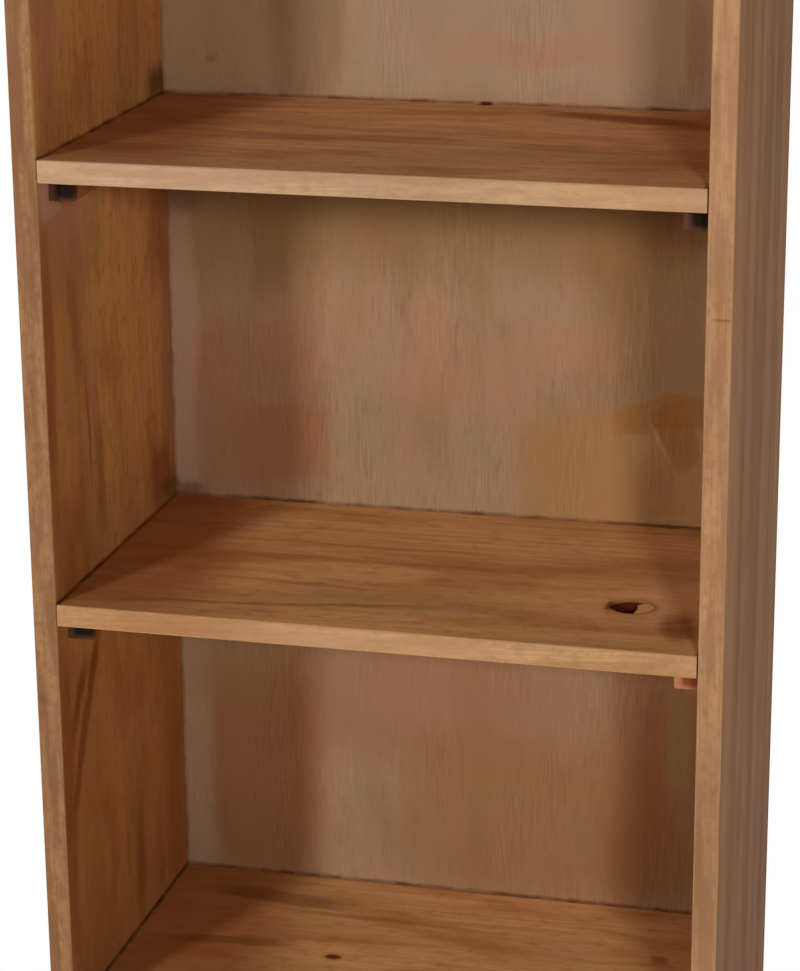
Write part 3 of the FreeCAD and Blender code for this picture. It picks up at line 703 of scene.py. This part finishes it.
# %% Boards cut from their logs
UPPER_EDGE = ("#b08f6d", "#9b7756", "#a68066")
LOWER_EDGE = ("#b2885f", "#956b46", "#a57a5c")
LEFT_EDGE = ("#946c49", "#754e33", "#835a41")
RIGHT_EDGE = ("#a87f5b", "#8b6244", "#9d7154")
BOARDS = {
    "left_side": dict(
        grain="Z", heart=(20, -60), ring=6, tones=SIDE_PINE, edge=LEFT_EDGE,
        lean=(0.6, 1.2), outward=(-1, 0, 0),
    ),
    "right_side": dict(
        grain="Z", heart=(-30, 70), ring=6, tones=SIDE_PINE, edge=RIGHT_EDGE,
        lean=(-0.5, 1.0), outward=(1, 0, 0),
    ),
    "top_board": dict(
        grain="X", heart=(10, -55), ring=6, tones=SHELF_PINE, edge=LOWER_EDGE,
        lean=(0.5, 2.0), outward=(0, 0, 1),
    ),
    "base_board": dict(
        grain="X", heart=(-20, -60), ring=6, tones=SHELF_PINE, edge=LOWER_EDGE, lean=(0.5, 2.0),
    ),
    "plinth_board": dict(
        grain="X", heart=(70, 10), ring=5, tones=SIDE_PINE, edge=LOWER_EDGE, lean=(0.5, 1.0),
    ),
    "upper_shelf": dict(
        grain="X", heart=(30, -70), ring=6, tones=UPPER_PINE, edge=UPPER_EDGE, lean=(0.6, 2.0),
    ),
    "middle_shelf": dict(
        grain="X", heart=(-35, -65), ring=6, tones=SHELF_PINE, edge=LOWER_EDGE, lean=(-0.8, 2.5),
    ),
    "lower_shelf": dict(
        grain="X", heart=(15, -75), ring=6, tones=SHELF_PINE, edge=LOWER_EDGE, lean=(0.7, 2.0),
    ),
    "left_plinth_block": dict(
        grain="Z", heart=(40, 10), ring=4, tones=SIDE_PINE, edge=LOWER_EDGE,
    ),
    "right_plinth_block": dict(
        grain="Z", heart=(30, 20), ring=4, tones=SIDE_PINE, edge=LOWER_EDGE,
    ),
}
for number, (board, cut) in enumerate(BOARDS.items()):
    dress(board, waxed_pine(board, number, **cut))
print("pine boards", len(BOARDS))

# %% [markdown]
# ## Cleats
# The cleats are offcuts, stained a redder brown than the sides that they hang on. Their end grain
# drank so much of it that it is nearly black. One of them was cut again later, and shows pinkish
# wood round a redder heart.

# %% Cleats
CLEAT_PINE = dict(SIDE_PINE, light="#9a5f38", late="#7c4a28", red="#743e22", olive="#805c34",
                  pink="#8f5c42", fibre="#643a1a")
DARK_END = ("#503628", "#3e2a20", "#483024")
DARK_CORE = "#170e09"
BARE_END = ("#a87450", "#7d4a2c", "#935c3a")
RED_CORE = "#6b3418"
END_SOAK = 4
for number, cleat in enumerate(name for name in nodes if name.endswith("_cleat")):
    low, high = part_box(cleat)
    x, y, z = (low.x + high.x) / 2 / MM, low.y / MM, (low.z + high.z) / 2 / MM
    end, core = (BARE_END, RED_CORE) if cleat == "middle_right_cleat" else (DARK_END, DARK_CORE)
    heart_mark = (core, (x + 2.2, z + 0.8), (5.6, 5.4), 0, 0.95, 0.8)
    MARKS_AND_SHADE[cleat] = on_plane("Y", y, END_SOAK, [heart_mark])
    cut = dict(grain="Y", heart=(25, 20), ring=3, tones=CLEAT_PINE, edge=end, end=end[0])
    dress(cleat, waxed_pine(cleat, number, **cut))
print("cleats", sum(name.endswith("_cleat") for name in nodes))

# %% [markdown]
# ## The plywood back
# Thin three-ply, stained with the same rag. The eye sees a greyish tan with short upright flecks,
# where the peeled veneer's vessels were cut, soft pinkish and olive clouds, and one golden brown
# mark low at the right, with a hard edge where something wet once stood.

# %% Stains, painted shade and painted light of the back panel
BACK_STAINS_AND_SHADE = [
    ("#a4886f", (40, 800), (120, 70), 0, 0.5, 0.8),
    # painted shade: carries the left side board's shadow further towards the middle of the top bay
    ("#7d5f42", (-82, 795), (19, 60), 0, 0.6, 0.5),
    # painted light: lifts the left side board's shadow in the top bay
    ("#a58666", (-130, 795), (32, 60), 0, 0.4, 0.6),
    ("#a37056", (45, 766), (45, 7), 0, 0.4, 1.0),
    ("#8f5a30", (128, 775), (6, 25), 0, 0.5, 1.0),
    ("#7a4a34", (-135, 757), (3.5, 2.5), 0, 0.35, 1.0),
    ("#8a6a42", (-122, 660), (44, 40), 0, 0.35, 0.8),
    ("#7a5432", (-103, 657), (11, 28), 4, 0.5, 1.0),
    # partly stain, partly painted shade that deepens the left side board's shadow
    ("#985a3a", (-114, 566), (36, 48), 0, 0.35, 0.5),
    ("#985a3a", (-98, 545), (26, 22), 0, 0.35, 0.5),
    # painted light: a pale strip by the left corner, inside the side board's shadow
    ("#b08c78", (-155, 610), (9, 90), 0, 0.5, 0.9),
    # painted shade in the top left corner, under the shelf
    ("#5f3826", (-150, 679), (9, 8), 0, 0.5, 1.0),
    # painted shadow of the upper shelf, across the top of the middle bay
    ("#75542f", (0, 690), (170, 40), 0, 0.74, 1.3),
    # painted shade: widens the right side board's shadow
    ("#7d5832", (106, 628), (32, 56), 0, 0.55, 1.0),
    # painted shade in the top right corner, under the shelf
    ("#64391c", (122, 680), (18, 18), 0, 0.5, 1.0),
    ("#a37056", (-14, 612), (9, 20), 0, 0.38, 0.9),
    ("#a37056", (-16, 582), (18, 13), 0, 0.38, 0.9),
    ("#a37056", (16, 592), (20, 22), 0, 0.32, 0.9),
    ("#a37056", (62, 610), (26, 13), 0, 0.38, 0.9),
    ("#9c7142", (98, 536), (58, 40), 0, 0.65, 0.4),
    ("#8a5a2a", (113, 574), (27, 9), -6, 0.65, 0.4),
    ("#8a5a2a", (120, 562), (10, 17), -28, 0.65, 0.4),
    ("#845a30", (108, 530), (13, 20), 0, 0.45, 0.8),
    # painted shade in the bottom left corner
    ("#5a3a24", (-154, 513), (9, 4), 0, 0.6, 1.3),
    ("#895d43", (-15, 398), (92, 36), 0, 0.6, 0.9),
    ("#865b34", (36, 330), (70, 48), 0, 0.6, 0.8),
    # partly stain, partly painted shade that deepens the left side board's shadow
    ("#875026", (-116, 350), (33, 74), 0, 0.6, 0.6),
    # painted light: a pale strip by the left corner, inside the side board's shadow
    ("#a08468", (-153, 360), (9, 70), 0, 0.5, 0.9),
    ("#8d6a44", (-135, 408), (28, 20), 0, 0.4, 1.0),
    # partly stain, partly painted shade that deepens the right side board's shadow
    ("#734019", (120, 355), (34, 84), 0, 0.68, 1.0),
    ("#80683c", (124, 388), (7, 32), 0, 0.5, 1.0),
]
BACK_MARKS_AND_SHADE = [
    # painted shadow of the chip in the upper shelf's rear edge
    ("#241006", (16, 738), (3.2, 1), 0, 1.0, 0.8),
    ("#b49a78", (111, 559), (0.9, 14), -28, 0.2, 1.2),
    ("#b49a78", (118, 517), (10, 0.6), -4, 0.15, 1.2),
    # painted shade in the gap behind the middle shelf's rear edge
    ("#3a1606", (120, 512.6), (24, 0.7), 0, 0.6, 0.9),
]
print("back stains", len(BACK_STAINS_AND_SHADE), "marks", len(BACK_MARKS_AND_SHADE))

# %% [markdown]
# The panel has three looks: the stained front, the bare back, and the cut edge that shows the
# plies. The cut vessels are fine grooves, so the flecks that they make are also in the relief
# and in the roughness.

# %% Veneers
VENEER = "#96785b"
RAW_VENEER = "#cdab80"
BACK_SOAK = 50


def stained_veneer(tree, place, upright):
    """The stained front of the panel, with painted shade and painted light where side boards and shelves cast
    shadows.
    """
    skin = glaze(tree, linear(VENEER), (
        (streaks(tree, upright, 60, 40, 5, (0.46, 0.66), 0, 0.45), "#a17357"),
        (streaks(tree, upright, 90, 34, 4, (0.47, 0.68), 0, 0.5), "#876746"),
        (streaks(tree, upright, 10, 0.9, 2, (0.5, 0.75), 0, 0.28), "#6e5034"),
    ))
    ragged = wander(tree, place, upright, 80, 30, 9)
    ragged = wander(tree, ragged, upright, 16, 5, 2.5)
    for point, table in ((ragged, BACK_STAINS_AND_SHADE), (place, BACK_MARKS_AND_SHADE)):
        skin = lay_stains_and_shade(tree, skin, point, on_plane("Y", BACK_FRONT, BACK_SOAK, table))
    seams = [("X", -SHELF_END, 1.6, 0.5), ("X", SHELF_END, 1.6, 0.5)]
    seams += [("Z", top, 2.2, 0.9) for top in SHELF_TOPS.values()]
    return lay_seams(tree, skin, place, seams, BACK_DIRT)


def raw_veneer(tree, upright):
    """The bare back of the panel: pale, with faint streaks and a few darker figures."""
    return glaze(tree, linear(RAW_VENEER), (
        (streaks(tree, upright, 260, 24, 3, (0.42, 0.66), 0, 0.6), "#b8925f"),
        (streaks(tree, upright, 160, 5, 2, (0.45, 0.7), 0, 0.5), "#a98253"),
    ))


print("veneers", VENEER, RAW_VENEER)

# %% Back panel
BACK_PLIES = 3
LONG_PLY = "#b08a5c"
CROSS_PLY = "#7a5634"
FLECK_PALE = 1.08
FLECK_DARK = 0.88
VENEER_ROUGHNESS = (0.76, 0.64)
VENEER_RELIEF = 0.2

panel, tree = new_material("stained_three_ply")
coordinates = add(tree, "TexCoord", {}).outputs
place = coordinates["Object"]
upright = add(tree, "Mapping", {"Vector": place, "Rotation": TURNS["Z"]}).outputs[0]
facing = add(tree, "SeparateXYZ", {0: coordinates["Normal"]}).outputs["Y"]
front = add(tree, "MapRange", {0: facing, 1: -0.4, 2: -0.6}).outputs[0]
edge = add(tree, "Math", {0: facing}, operation="ABSOLUTE").outputs[0]
edge = add(tree, "MapRange", {0: edge, 1: 0.6, 2: 0.4}).outputs[0]
through = add(tree, "SeparateXYZ", {0: place}).outputs["Y"]
low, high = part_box("back_panel")
plies = add(tree, "MapRange", {0: through, 1: low.y, 2: high.y, 4: BACK_PLIES}).outputs[0]
crossed = add(tree, "Math", {0: plies, 1: BACK_PLIES / 2, 2: 0.5}, operation="COMPARE").outputs[0]
cut = glaze(tree, linear(LONG_PLY), [(crossed, CROSS_PLY)])
skin = raw_veneer(tree, upright)
skin = glaze(tree, skin, [(front, stained_veneer(tree, place, upright)), (edge, cut)])
fleck = streaks(tree, upright, 14, 0.7, 3, (0.3, 0.7), FLECK_PALE, FLECK_DARK)
calm = streaks(tree, upright, 90, 30, 3, (0.36, 0.58), 0, 0.95)
fleck = add(tree, "Mix", {0: calm, 2: fleck, 3: 1}).outputs[0]
skin = add(tree, "HueSaturation", {"Value": fleck, "Color": skin}).outputs[0]
rough, smooth = VENEER_ROUGHNESS
dull = {0: fleck, 1: FLECK_DARK, 2: FLECK_PALE, 3: rough, 4: smooth}
dull = add(tree, "MapRange", dull).outputs[0]
bump = add(tree, "Bump", {"Height": fleck, "Strength": 0.3, "Distance": VENEER_RELIEF * MM}).outputs[0]
shader = add(tree, "BsdfPrincipled", {
    "Base Color": skin,
    "Roughness": dull,
    "IOR": PINE_IOR,
    "Specular IOR Level": PINE_SPECULAR,
    "Normal": bump,
})
add(tree, "OutputMaterial", {"Surface": shader.outputs[0]})
dress("back_panel", panel)
print("plies", BACK_PLIES)

# %% [markdown]
# ## Screws and staples
# The cleat screws are zinc plated and passivated: a soft grey shine with faint straw and bluish
# clouds. The staples are drawn from bright wire, so fine lines run along them. Both patterns are
# finer than a picture of the whole rack shows, and are drawn coarser.

# %% Zinc-plated and bright steel
def plain_steel(name, tones, along_mm, across_mm, roughness):
    """A metal whose colour and roughness vary in clouds or streaks of this size."""
    steel, tree = new_material(name)
    place = add(tree, "TexCoord", {}).outputs["Object"]
    cloud = streaks(tree, place, along_mm, across_mm, 3, (0.35, 0.65), 0, 1)
    tone = glaze(tree, linear(tones[0]), [(cloud, tones[1])])
    rough = add(tree, "MapRange", {0: cloud, 3: roughness[0], 4: roughness[1]}).outputs[0]
    shader = add(tree, "BsdfPrincipled", {"Base Color": tone, "Metallic": 1, "Roughness": rough})
    add(tree, "OutputMaterial", {"Surface": shader.outputs[0]})
    return steel


zinc = plain_steel("zinc_plated_steel", ("#b9b299", "#a4a8ae"), 2.5, 2.5, (0.3, 0.45))
bright = plain_steel("bright_drawn_steel", ("#c2c3c2", "#9c9d9f"), 6, 0.4, (0.25, 0.4))
for name in nodes:
    if name.endswith("_screws"):
        dress(name, zinc)
    if name.endswith("_staples"):
        dress(name, bright)
print("steel pieces", sum(name.endswith(("_screws", "_staples")) for name in nodes))
